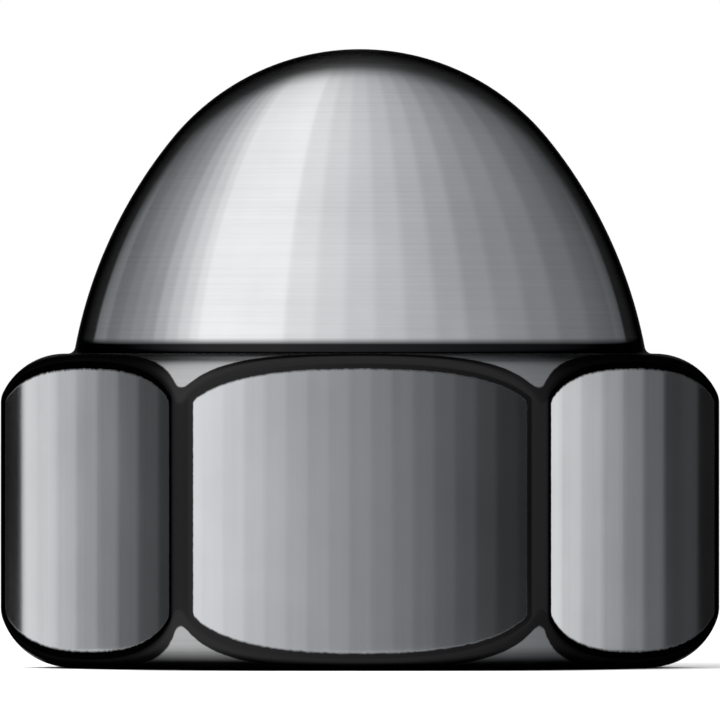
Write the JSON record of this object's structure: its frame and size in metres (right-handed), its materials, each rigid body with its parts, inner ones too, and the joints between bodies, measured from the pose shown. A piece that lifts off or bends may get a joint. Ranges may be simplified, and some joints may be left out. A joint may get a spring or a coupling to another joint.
{
  "type": "cap nut",
  "caption": "Domed cap nut: a hexagonal collar with rounded shoulders under a closed ball crown, with a blind thread from below.",
  "frame": {"origin": "centre of the bearing face, on the axis of the thread", "axes": "+Z along the axis, from the bearing face up to the top of the dome; the flats face +Y and -Y, so two corners lie on the X axis"},
  "size_m": [0.0194, 0.017, 0.0168],
  "materials": {
    "steel": "turned and lightly polished bright steel, with machined flats"
  },
  "bodies": {
    "root": {"cap_nut": "steel"}
  },
  "joints": []
}
